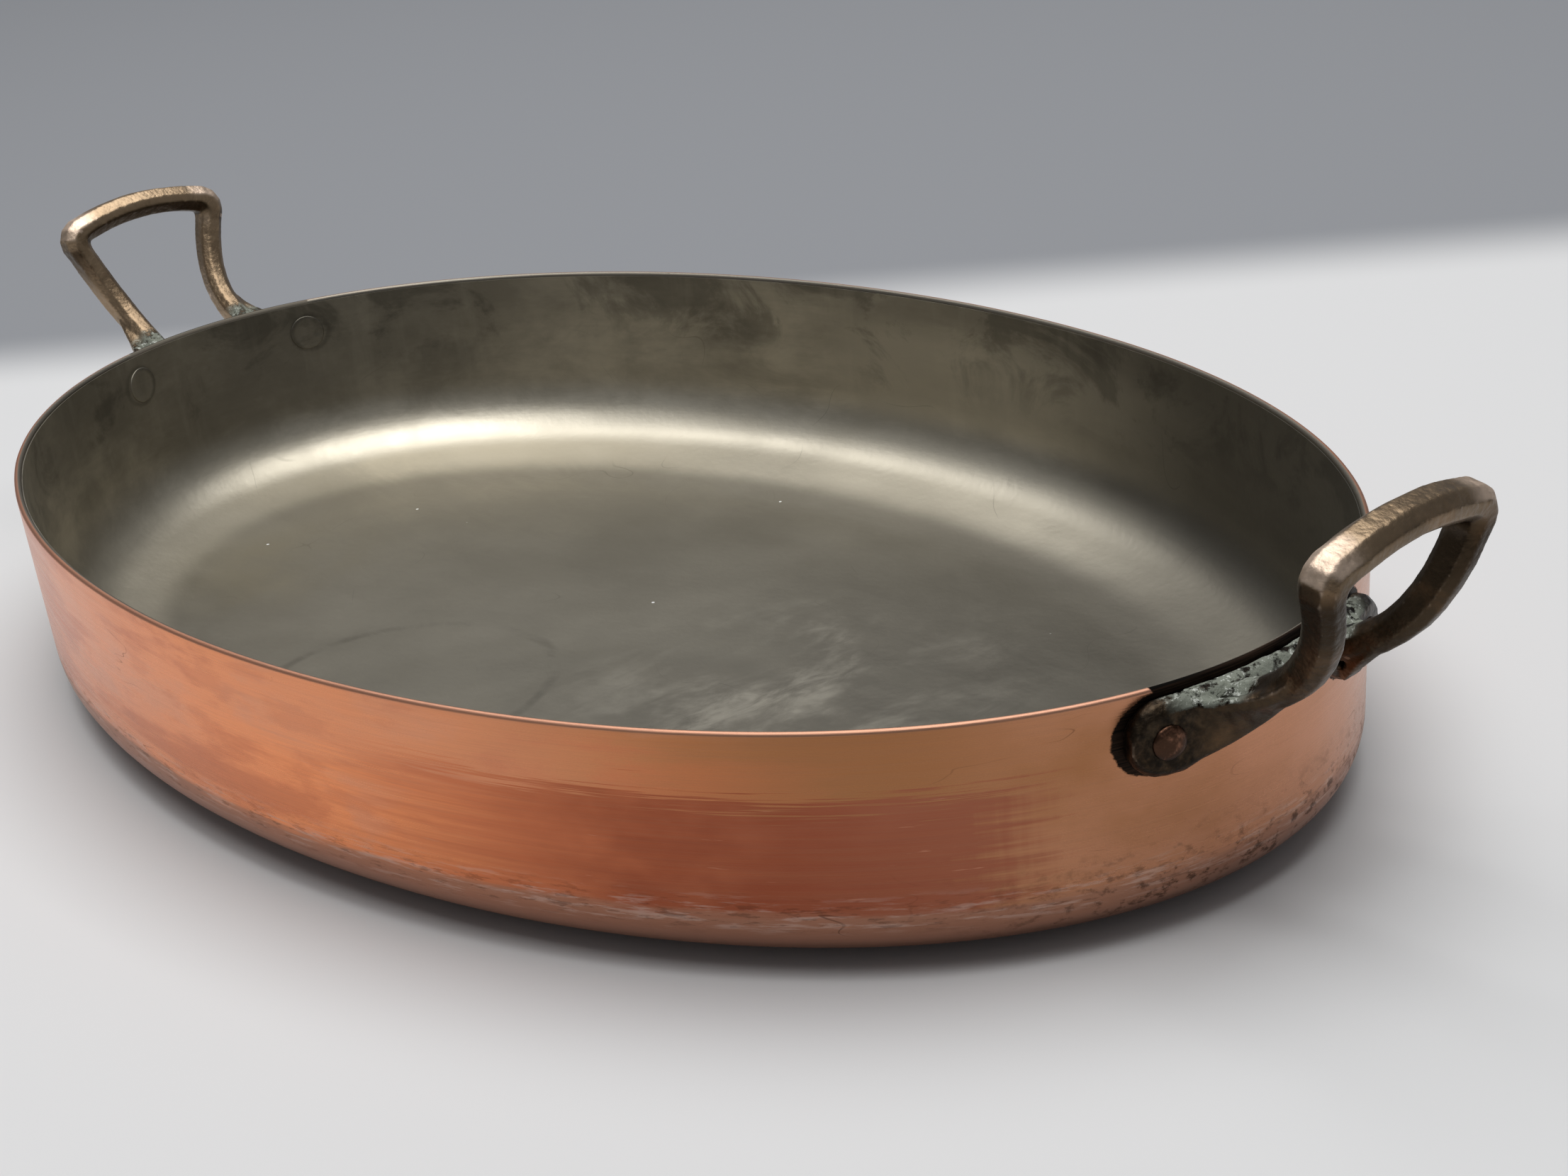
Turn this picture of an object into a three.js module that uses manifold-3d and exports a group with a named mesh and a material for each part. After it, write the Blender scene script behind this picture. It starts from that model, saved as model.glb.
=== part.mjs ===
// Oval copper baking dish: a tin-lined copper shell with a cast bronze loop handle riveted to each end.
// Millimetres, +Z up. The origin is the middle of the flat base, and X runs along the length of the oval.
import * as THREE from "three";
import { mergeVertices } from "three/addons/utils/BufferGeometryUtils.js";
import Module from "manifold-3d";

// Dish
const RIM_LENGTH = 450;
const RIM_WIDTH = 296;
const DISH_DEPTH = 62.5;
const WALL_LEAN = 2.8;
const BASE_RADIUS = 10;
const BASE_LIFT = 4;
const LIFT_SPAN = 40;
const COPPER_THICKNESS = 2;
const TIN_THICKNESS = 0.3;
const RIM_ROUNDING = 0.6;

// Rivets: a flat head inside the dish, a shank, and a domed peened end outside the handle's foot
const RIVET_SPACING = 66;
const RIVET_BELOW_RIM = 11;
const SHANK_DIAMETER = 6;
const HEAD_DIAMETER = 11.5;
const HEAD_HEIGHT = 1.2;
const PEEN_DIAMETER = 8.4;
const PEEN_HEIGHT = 1.4;

// Handles: a base bar along the wall ends in a round tab at each rivet, and the loop is two legs and a grip
const TAB_HEIGHT = 18;
const TAB_THICKNESS = 5;
const BAR_BELOW_RIM = 1.5;
const BAR_HEIGHT = 7;
const BAR_THICKNESS = 4;
const ARM_BELOW_RIM = 8;
const ARM_HEIGHT = 7;
const ARM_SPACING = 37;
const ANKLE_STANDOFF = 26;
const ANKLE_SPACING = 27;
const ANKLE_RISE = 4.5;
const SHIN_REACH = 11;
const SHIN_TAPER = 1.5;
const LEG_WIDTH = 7.4;
const LEG_DEPTH = 9.4;
const LOOP_LEAN = 11.5;
const CORNER_SPACING = 54;
const CORNER_BEND = 7;
const CORNER_SWELL = 1;
const GRIP_RISE = 32;
const GRIP_BOW = 3.6;
const GRIP_HEIGHT = 8.4;
const GRIP_DEPTH = 10.4;
const FOOT_CHAMFER = 2;
const GRIP_CHAMFER = 2.8;

// Clearances left between pieces that touch
const LINING_GAP = 0.1;
const SEAT_GAP = 0.3;

// How finely round stretches are faceted
const OVAL_SEGMENTS = 96;
const BASE_STEPS = 5;
const BEND_STEPS = 5;
const RIVET_SEGMENTS = 24;
const DOME_STEPS = 3;

const { degToRad, lerp, smoothstep } = THREE.MathUtils;
const wasm = await Module();
wasm.setup();

function toSolid(geometry) {
  const bare = new THREE.BufferGeometry();
  bare.setAttribute("position", geometry.getAttribute("position"));
  bare.setIndex(geometry.index);
  const merged = mergeVertices(bare, 1e-4);
  return new wasm.Manifold(
    new wasm.Mesh({
      numProp: 3,
      vertProperties: merged.attributes.position.array,
      triVerts: new Uint32Array(merged.index.array),
    }),
  );
}

function toGeometry(solid) {
  const mesh = solid.getMesh();
  const geometry = new THREE.BufferGeometry();
  geometry.setAttribute("position", new THREE.BufferAttribute(mesh.vertProperties, 3));
  geometry.setIndex(new THREE.BufferAttribute(mesh.triVerts, 1));
  geometry.computeVertexNormals();
  return geometry;
}

// A closed surface through rings of equally many points, with a fan over each end
function skin(rings) {
  const count = rings[0].length;
  const positions = rings.flat().flatMap((p) => [p.x, p.y, p.z]);
  const indices = [];
  for (let r = 0; r + 1 < rings.length; r++) {
    for (let i = 0; i < count; i++) {
      const a = r * count + i;
      const b = r * count + ((i + 1) % count);
      indices.push(a, b, a + count, b, b + count, a + count);
    }
  }
  const first = positions.length / 3;
  const last = first + 1;
  const start = (rings.length - 1) * count;
  for (const ring of [rings[0], rings.at(-1)]) {
    const middle = ring.reduce((sum, p) => sum.add(p), new THREE.Vector3()).divideScalar(count);
    positions.push(middle.x, middle.y, middle.z);
  }
  for (let i = 0; i < count; i++) {
    const next = (i + 1) % count;
    indices.push(first, next, i, last, start + i, start + next);
  }
  const geometry = new THREE.BufferGeometry();
  geometry.setAttribute("position", new THREE.Float32BufferAttribute(positions, 3));
  geometry.setIndex(indices);
  return geometry;
}

// The rim's ellipse, and its outward normal, at an angle
const HALF_LENGTH = RIM_LENGTH / 2;
const HALF_WIDTH = RIM_WIDTH / 2;
const rimPoint = (angle) =>
  new THREE.Vector3(HALF_LENGTH * Math.cos(angle), HALF_WIDTH * Math.sin(angle), 0);
const rimNormal = (angle) =>
  new THREE.Vector3(Math.cos(angle) / HALF_LENGTH, Math.sin(angle) / HALF_WIDTH, 0).normalize();

// One ring of the dish, set in from the rim's ellipse, at a height
function ovalRing(inset, z) {
  return Array.from({ length: OVAL_SEGMENTS }, (_, i) => {
    const angle = (2 * Math.PI * i) / OVAL_SEGMENTS;
    return rimPoint(angle).addScaledVector(rimNormal(angle), -inset).setZ(z);
  });
}

const dishSkin = (profile) => skin(profile.map(([inset, z]) => ovalRing(inset, z)));

// The dish's section at a depth below its outside, as insets and heights: the outer ring of the base, which
// lifts off the table, then the corner and the leaning wall
const wallInset = (z) => WALL_LEAN * (1 - z / DISH_DEPTH);
function dishProfile(depth, top) {
  const radius = BASE_RADIUS - depth;
  const wallStart = BASE_LIFT + BASE_RADIUS;
  const centre = wallInset(wallStart) + BASE_RADIUS;
  const slope = Math.atan2(BASE_LIFT, LIFT_SPAN);
  const corner = Array.from({ length: BASE_STEPS + 1 }, (_, i) => {
    const turn = lerp(slope, Math.PI / 2, i / BASE_STEPS);
    return [centre - radius * Math.sin(turn), wallStart - radius * Math.cos(turn)];
  });
  return [[centre + LIFT_SPAN, depth], ...corner, [wallInset(top) + depth, top]];
}

function copperShell() {
  const outside = [...dishProfile(0, DISH_DEPTH - RIM_ROUNDING), [RIM_ROUNDING, DISH_DEPTH]];
  const inside = dishProfile(COPPER_THICKNESS, DISH_DEPTH).reverse();
  return dishSkin([...outside, ...inside]);
}

const LINING_DEPTH = COPPER_THICKNESS + LINING_GAP;
function tinLining() {
  const outside = dishProfile(LINING_DEPTH, DISH_DEPTH);
  const inside = dishProfile(LINING_DEPTH + TIN_THICKNESS, DISH_DEPTH).reverse();
  return dishSkin([...outside, ...inside]);
}

// The wall as a block grown by the seat gap, which the handles' feet are cut to
const wallBlock = () => dishSkin([0, DISH_DEPTH].map((z) => [wallInset(z) - SEAT_GAP, z]));

// Axes of the leaning wall at an angle of the oval and a height: a point on it, out of it and up it
const WALL_SLOPE = WALL_LEAN / DISH_DEPTH;
function onWall(angle, z) {
  const flat = rimNormal(angle);
  const point = rimPoint(angle).addScaledVector(flat, -wallInset(z)).setZ(z);
  const out = flat.clone().setZ(-WALL_SLOPE).normalize();
  const up = flat.clone().multiplyScalar(WALL_SLOPE).setZ(1).normalize();
  return { point, out, up };
}

const RIVET_Z = DISH_DEPTH - RIVET_BELOW_RIM;
const RIVET_ANGLE = Math.asin(RIVET_SPACING / 2 / HALF_WIDTH);

// Lathed about the rivet's axis from the wall's outside: negative is into the dish
function rivetSolid() {
  const shank = SHANK_DIAMETER / 2;
  const head = HEAD_DIAMETER / 2;
  const peen = PEEN_DIAMETER / 2;
  const wallRadius = HALF_WIDTH ** 2 / HALF_LENGTH;
  const under = -(LINING_DEPTH + TIN_THICKNESS + SEAT_GAP + head ** 2 / (2 * wallRadius));
  const over = TAB_THICKNESS + SEAT_GAP;
  const dome = Array.from({ length: DOME_STEPS + 1 }, (_, i) => {
    const turn = (Math.PI / 2) * (i / DOME_STEPS);
    return [i === DOME_STEPS ? 0 : peen * Math.cos(turn), over + PEEN_HEIGHT * Math.sin(turn)];
  });
  const profile = [
    [0, under - HEAD_HEIGHT],
    [head - HEAD_HEIGHT, under - HEAD_HEIGHT],
    [head, under - HEAD_HEIGHT / 2],
    [head, under],
    [shank, under],
    [shank, over],
    ...dome,
  ];
  return new THREE.LatheGeometry(profile.map(([r, h]) => new THREE.Vector2(r, h)), RIVET_SEGMENTS);
}

const rivetHole = () => new THREE.CylinderGeometry(
  SHANK_DIAMETER / 2 + SEAT_GAP, SHANK_DIAMETER / 2 + SEAT_GAP, 4 * TAB_THICKNESS, RIVET_SEGMENTS);

// Puts a shape made about +Y on the wall where a rivet goes: end is the side along X, side the one along Y
function atRivet(geometry, end, side) {
  const { point, out } = onWall(side * RIVET_ANGLE, RIVET_Z);
  const flip = new THREE.Vector3(end, 1, 1);
  const turn = new THREE.Quaternion().setFromUnitVectors(new THREE.Vector3(0, 1, 0), out.multiply(flip));
  return geometry.applyQuaternion(turn).translate(...point.multiply(flip));
}

// A chamfered rectangle about a point of a sweep: out and up are its axes, the rest its size from the point
function section({ point, out, up, inner, outer, above, below, chamfer }) {
  const corner = (n, u) => point.clone().addScaledVector(out, n).addScaledVector(up, u);
  const c = Math.min(chamfer, 0.45 * (above + below), 0.45 * (inner + outer));
  return [
    corner(outer, above - c),
    corner(outer, c - below),
    corner(outer - c, -below),
    corner(c - inner, -below),
    corner(-inner, c - below),
    corner(-inner, above - c),
    corner(c - inner, above),
    corner(outer - c, above),
  ];
}

const mirrored = (p) => new THREE.Vector3(p.x, -p.y, p.z);
const mirrorRings = (rings) => rings.toReversed().map((ring) => ring.map(mirrored));

// Rings of a sweep along a curve. Its section changes from one size to another, late if taper is above 1,
// while its way out turns from one direction to the other. Share is how much of the curve is swept.
function sweep(curve, { from, to, outFrom, outTo = outFrom, steps, swell = 0, taper = 1, share = 1 }) {
  return Array.from({ length: steps + 1 }, (_, i) => {
    const t = i / steps;
    const tangent = curve.getTangent(t * share);
    const out = outFrom.clone().lerp(outTo, t);
    out.addScaledVector(tangent, -out.dot(tangent)).normalize();
    const up = out.clone().cross(tangent);
    const change = t ** taper;
    const depth = lerp(from.depth, to.depth, change) / 2;
    const below = lerp(from.width, to.width, change) / 2;
    const above = below + swell * Math.sin(Math.PI * t);
    const chamfer = lerp(from.chamfer, to.chamfer, change);
    const point = curve.getPoint(t * share);
    return section({ point, out, up, inner: depth, outer: depth, above, below, chamfer });
  });
}

const towards = (from, to, distance) => to.clone().sub(from).setLength(distance).add(from);

// The loop on the -Y side: its leg leaves the wall level, bends up at the ankle and leans out to the corner
const LEAN = degToRad(LOOP_LEAN);
const LOOP_OUT = new THREE.Vector3(Math.cos(LEAN), 0, -Math.sin(LEAN));
const LOOP_UP = new THREE.Vector3(Math.sin(LEAN), 0, Math.cos(LEAN));
const ARM_Z = DISH_DEPTH - ARM_BELOW_RIM;
const ROOT = new THREE.Vector3(HALF_LENGTH - ARM_HEIGHT, -ARM_SPACING / 2, ARM_Z);
const ANKLE = new THREE.Vector3(HALF_LENGTH + ANKLE_STANDOFF, -ANKLE_SPACING / 2, ARM_Z + ANKLE_RISE);
const CORNER = ANKLE.clone()
  .addScaledVector(LOOP_UP, (DISH_DEPTH + GRIP_RISE - ANKLE.z) / LOOP_UP.z)
  .setY(-CORNER_SPACING / 2);
const LEG_LINE = new THREE.QuadraticBezierCurve3(ROOT, ANKLE, towards(CORNER, ANKLE, CORNER_BEND));
const ARM = { depth: ARM_HEIGHT, width: LEG_WIDTH, chamfer: FOOT_CHAMFER };
const LEG = { depth: LEG_DEPTH, width: LEG_WIDTH, chamfer: FOOT_CHAMFER };
const GRIP = { depth: GRIP_DEPTH, width: GRIP_HEIGHT, chamfer: GRIP_CHAMFER };

// The base, swept along the wall: a round-ended tab about each rivet and a thinner bar between them.
// Half of it is described, for -Y.
const TAB_FLAT = PEEN_DIAMETER / 2 + SEAT_GAP;
function baseRings() {
  const radius = TAB_HEIGHT / 2;
  const perRadian = Math.hypot(HALF_LENGTH * Math.sin(RIVET_ANGLE), HALF_WIDTH * Math.cos(RIVET_ANGLE));
  const barTop = DISH_DEPTH - BAR_BELOW_RIM - RIVET_Z;
  const station = (s, outer, above, below) => {
    const axes = onWall(s / perRadian - RIVET_ANGLE, RIVET_Z);
    return section({ ...axes, inner: TAB_THICKNESS, outer, above, below, chamfer: FOOT_CHAMFER });
  };
  const half = [];
  for (let i = 1; i <= BEND_STEPS; i++) {
    const turn = (Math.PI / 2) * (i / BEND_STEPS);
    const reach = radius * Math.sin(turn);
    half.push(station(-radius * Math.cos(turn), TAB_THICKNESS, reach, reach));
  }
  for (let i = 0; i <= BEND_STEPS; i++) {
    const t = i / BEND_STEPS;
    const outer = lerp(TAB_THICKNESS, BAR_THICKNESS, smoothstep(t, 0.3, 1));
    const above = lerp(radius, barTop, smoothstep(t, 0, 0.6));
    const below = lerp(radius, BAR_HEIGHT - barTop, smoothstep(t, 0, 0.8));
    half.push(station(lerp(TAB_FLAT, RIVET_ANGLE * perRadian, t), outer, above, below));
  }
  return [...half, ...mirrorRings(half).slice(1)];
}

// The shin, which carries the front of the tab on into the leg in one bend
function shinRings() {
  const { point, out } = onWall(-RIVET_ANGLE, RIVET_Z);
  const along = new THREE.Vector3(-out.y, out.x, 0).normalize();
  const start = point.addScaledVector(out, TAB_THICKNESS / 2).addScaledVector(along, TAB_FLAT);
  const level = start.clone().addScaledVector(along, SHIN_REACH);
  const end = LEG_LINE.getPoint(0.75);
  const bend = end.clone().addScaledVector(LEG_LINE.getTangent(0.75), -1.6 * SHIN_REACH);
  return sweep(new THREE.CubicBezierCurve3(start, level, bend, end), {
    from: { ...ARM, depth: TAB_THICKNESS - FOOT_CHAMFER, width: TAB_HEIGHT - FOOT_CHAMFER },
    to: { ...LEG, depth: LEG_DEPTH - 2 * FOOT_CHAMFER, width: LEG_WIDTH - 2 * FOOT_CHAMFER },
    outFrom: out, outTo: LOOP_OUT, steps: 2 * BEND_STEPS, taper: SHIN_TAPER,
  });
}

// The loop, swept from one leg's root to the other's: up the leg, round a tight corner and along the bowed
// grip. Half of it is described, for -Y.
function loopRings() {
  const crown = CORNER.clone().setY(0).addScaledVector(LOOP_UP, 2 * GRIP_BOW);
  const gripStart = towards(CORNER, crown, CORNER_BEND);
  const down = new THREE.Vector3(0, 0, -1);
  const half = [
    sweep(LEG_LINE, { from: ARM, to: LEG, outFrom: down, outTo: LOOP_OUT, steps: 2 * BEND_STEPS }),
    sweep(new THREE.QuadraticBezierCurve3(LEG_LINE.v2, CORNER, gripStart), {
      from: LEG, to: GRIP, outFrom: LOOP_OUT, steps: BEND_STEPS, swell: CORNER_SWELL,
    }).slice(1),
    sweep(new THREE.QuadraticBezierCurve3(gripStart, crown, mirrored(gripStart)), {
      from: GRIP, to: GRIP, outFrom: LOOP_OUT, steps: BEND_STEPS, share: 0.5,
    }).slice(1),
  ].flat();
  return [...half, ...mirrorRings(half).slice(1)];
}

function bronzeHandle() {
  const shin = shinRings();
  return [baseRings(), shin, mirrorRings(shin), loopRings()]
    .map((rings) => toSolid(skin(rings)))
    .reduce((whole, part) => whole.add(part))
    .subtract(toSolid(wallBlock()));
}

const material = (color, roughness) => new THREE.MeshStandardMaterial({ color, roughness, metalness: 1 });
const copper = material(0xc87350, 0.35);
const tin = material(0x8a877c, 0.45);
const bronze = material(0x6b5138, 0.5);

const dish = new THREE.Group();
function addPiece(name, geometry, finish) {
  const mesh = new THREE.Mesh(geometry, finish);
  mesh.name = name;
  dish.add(mesh);
}

const ends = { left: -1, right: 1 };
const sides = { front: -1, back: 1 };
const rivets = Object.entries(ends).flatMap(([endName, end]) =>
  Object.entries(sides).map(([sideName, side]) => ({ name: `rivet_${endName}_${sideName}`, end, side })),
);
function drilled(solid) {
  const holes = rivets.map(({ end, side }) => toSolid(atRivet(rivetHole(), end, side)));
  return toGeometry(holes.reduce((rest, hole) => rest.subtract(hole), solid));
}

const handle = drilled(bronzeHandle());
addPiece("copper_shell", drilled(toSolid(copperShell())), copper);
addPiece("tin_lining", drilled(toSolid(tinLining())), tin);
addPiece("right_handle", handle, bronze);
addPiece("left_handle", handle.clone().rotateZ(Math.PI), bronze);
for (const { name, end, side } of rivets) addPiece(name, atRivet(rivetSolid(), end, side), copper);

export default dish;
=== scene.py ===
"""An oval copper baking dish: worn copper, wiped tin, cast bronze and hammered rivets, on a plain stage."""

import math

import bpy
from bpy.props import FloatProperty, FloatVectorProperty, IntProperty, PointerProperty
from mathutils import Matrix, Vector


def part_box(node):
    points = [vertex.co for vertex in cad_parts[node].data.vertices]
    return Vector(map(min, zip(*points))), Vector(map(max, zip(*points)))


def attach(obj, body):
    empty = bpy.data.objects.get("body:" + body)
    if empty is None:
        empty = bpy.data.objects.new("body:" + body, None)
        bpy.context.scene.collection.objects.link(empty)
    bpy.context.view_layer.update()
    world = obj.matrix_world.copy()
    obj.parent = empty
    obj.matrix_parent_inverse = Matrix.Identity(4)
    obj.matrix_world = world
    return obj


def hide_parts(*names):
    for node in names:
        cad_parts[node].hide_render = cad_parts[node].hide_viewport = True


bl_info = {
    "name": "Oval Copper Baking Dish",
    "version": (1, 0, 0),
    "blender": (4, 5, 0),
    "location": "View3D > Sidebar > Baking Dish",
    "description": "Dresses an oval baking dish in worn copper, wiped tin and cast bronze",
    "category": "Object",
}

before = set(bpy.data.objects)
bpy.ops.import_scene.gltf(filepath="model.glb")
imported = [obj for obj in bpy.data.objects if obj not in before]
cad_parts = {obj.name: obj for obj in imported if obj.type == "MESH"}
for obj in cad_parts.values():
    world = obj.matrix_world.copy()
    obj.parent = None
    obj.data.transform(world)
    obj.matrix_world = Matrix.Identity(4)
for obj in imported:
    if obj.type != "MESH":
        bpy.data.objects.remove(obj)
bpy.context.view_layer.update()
SHELL_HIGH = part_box("copper_shell")[1]
BODY = "root"
ENDS = {"left": -1, "right": 1}
SIDES = {"front": -1, "back": 1}


def length(default, name, description):
    return FloatProperty(name=name, description=description, default=default, unit="LENGTH", precision=5)


def count(default, least, name, description):
    return IntProperty(name=name, description=description, default=default, min=least)


def colour(default, name, description):
    return FloatVectorProperty(
        name=name, description=description, default=default, subtype="COLOR", size=3, min=0, max=1)


def angle(degrees, name, description):
    return FloatProperty(name=name, description=description, default=math.radians(degrees), subtype="ANGLE")


def power(default, name, description):
    return FloatProperty(name=name, description=description, default=default, unit="POWER")


class DishSizes(bpy.types.PropertyGroup):
    """Sizes of the copper body and its tin, from the frame where the frame has them."""
    half_length: length(SHELL_HIGH.x, "Half length", "Middle of the oval to its rim along X")
    half_width: length(SHELL_HIGH.y, "Half width", "Middle of the oval to its rim along Y")
    depth: length(SHELL_HIGH.z, "Depth", "Height of the rim above the table")
    wall_lean: length(0.0028, "Wall lean", "How far the wall draws in from the rim to the table")
    base_radius: length(0.012, "Base radius", "Radius outside the corner between wall and base")
    base_curl: length(0.0048, "Base curl", "How far the base lifts off the table towards its corner")
    curl_span: length(0.032, "Curl span", "Width of the ring of base that lifts")
    copper: length(0.002, "Copper", "Thickness of the sheet copper")
    tin: length(0.0003, "Tin", "Thickness of the wiped tin")
    tin_fill: length(0.012, "Tin fill", "How much rounder the tin leaves the corner inside")
    tin_below_rim: length(0.0002, "Tin below rim", "Bare copper left above the edge of the tin")
    unevenness: length(0.0005, "Unevenness", "Width of the band that the hand-raised wall wanders in")
    segments: count(256, 32, "Segments", "Sides of the oval")


class HandleSizes(bpy.types.PropertyGroup):
    """How finely the castings are skinned."""
    grain: length(0.0005, "Grain", "Edge of the small faces that skin the casting")
    softening: count(5, 0, "Softening", "Smoothing passes over the cast edges")
    cast_skin: length(0.00035, "Cast skin", "Depth of the shallow unevenness left by the mould")
    cast_size: length(0.011, "Cast size", "Width of that unevenness")


class RivetSizes(bpy.types.PropertyGroup):
    """Sizes and places of the rivets."""
    spacing: length(0.066, "Spacing", "Distance across between the two rivets of a handle")
    below_rim: length(0.011, "Below rim", "Height of the rim above a rivet's middle")
    tab: length(0.005, "Tab", "Thickness of the handle's tab that the rivet holds")
    shank: length(0.003, "Shank", "Radius of the shank")
    head: length(0.00575, "Head", "Radius of the flat head inside the dish")
    head_height: length(0.0005, "Head height", "How far the flat head stands out of the tin")
    peen: length(0.0042, "Peen", "Radius of the hammered end outside")
    peen_height: length(0.0015, "Peen height", "Height of the hammered end's dome")
    hammering: length(0.0004, "Hammering", "Depth of the hammer marks")
    segments: count(48, 12, "Segments", "Sides of a rivet")


class DishColours(bpy.types.PropertyGroup):
    """Colours of the metals and of what has grown on them; some also paint light and shade."""
    copper_bright: colour((0.91, 0.325, 0.134), "Bright copper", "Rubbed copper on the left of the front")
    # copper_tan also stands for painted shade on the right of the front.
    copper_tan: colour((0.36, 0.156, 0.066), "Tan copper", "Toned copper under the rim")
    # copper_pale also paints a highlight band under the rim.
    copper_pale: colour((0.68, 0.325, 0.205), "Pale copper", "Dull pink copper towards the ends")
    copper_red: colour((0.60, 0.185, 0.082), "Red copper", "Left of the toned patch low on the wall")
    copper_oxide: colour((0.33, 0.108, 0.062), "Copper oxide", "Right of the toned patch low on the wall")
    copper_deep: colour((0.27, 0.062, 0.030), "Deep copper", "Dark red middle of the toned patch")
    copper_base: colour((0.37, 0.185, 0.122), "Base copper", "Mauve scuffed copper round the base")
    copper_scraped: colour((0.66, 0.50, 0.43), "Scraped copper", "Pale scuffs along the base")
    copper_brushed: colour((0.30, 0.16, 0.10), "Brushed copper", "Fine brown lines left by rubbing")
    rim: colour((0.56, 0.31, 0.215), "Rim", "Bare edge of the copper")
    # tarnish also paints shade round the handles' bases and along the copper's underside.
    tarnish: colour((0.008, 0.007, 0.006), "Tarnish", "Black round the handles and in scratches")
    # tin_light also paints highlights in the inner corner and up the wall right of the middle.
    tin_light: colour((0.66, 0.61, 0.50), "Light tin", "Clean wiped tin")
    tin_grey: colour((0.42, 0.385, 0.31), "Grey tin", "Toned tin on the floor")
    # tin_dark also paints shade towards the right end of the tin.
    tin_dark: colour((0.25, 0.23, 0.19), "Dark tin", "Stained tin on the wall")
    tin_smear: colour((0.70, 0.66, 0.56), "Tin smear", "Pale smears on the floor of the dish")
    tin_yellow: colour((0.52, 0.45, 0.30), "Yellow tin", "Stain at the left of the floor")
    # tin_black also paints shade up the wall at the right end and at the far left.
    tin_black: colour((0.045, 0.042, 0.034), "Tin black", "Scratches and grime on the tin")
    tin_speck: colour((0.85, 0.85, 0.82), "Tin speck", "Pale specks low in the dish")
    # bronze_dark also paints shade on the faces high on the handles that do not face up.
    bronze_dark: colour((0.030, 0.020, 0.012), "Dark bronze", "Brown patina of the castings")
    bronze_brown: colour((0.115, 0.064, 0.032), "Brown bronze", "Warm mottling of the patina")
    bronze_gold: colour((0.38, 0.275, 0.175), "Golden bronze", "Thin patina where a hand rubs")
    # bronze_worn also paints a highlight on the grip's upper corners.
    bronze_worn: colour((0.86, 0.68, 0.54), "Worn bronze", "Bare metal along the edges")
    verdigris: colour((0.24, 0.26, 0.21), "Verdigris", "Grey-green crust on the ledges")
    chalk: colour((0.60, 0.62, 0.56), "Chalk", "Pale spots in the verdigris")
    rivet_brown: colour((0.056, 0.029, 0.018), "Rivet brown", "Toned copper of the hammered ends")


class StageSettings(bpy.types.PropertyGroup):
    """Camera, floor and lights."""
    lens: FloatProperty(
        name="Lens", description="Focal length on a 36 mm sensor", default=62.1, unit="CAMERA")
    azimuth: angle(50.17, "Azimuth", "Turn of the camera round the dish")
    elevation: angle(22.43, "Elevation", "Height of the camera as an angle")
    roll: angle(-6.08, "Roll", "Tilt of the camera about its view")
    distance: length(0.7090, "Distance", "Camera to the point it looks at")
    target: FloatVectorProperty(
        name="Target", description="Point the camera looks at", default=(0.06527, -0.00394, 0.03775),
        subtype="XYZ", unit="LENGTH", size=3)
    floor_pale: colour((0.74, 0.74, 0.74), "Pale floor", "Floor round the dish")
    floor_grey: colour((0.285, 0.293, 0.312), "Grey floor", "Floor behind the dish")
    sky: colour((0.18, 0.184, 0.192), "Sky", "Light of the room")
    top_power: power(47, "Top power", "Wide soft box over the dish")
    front_power: power(14, "Front power", "Weak box over the front")


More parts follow.
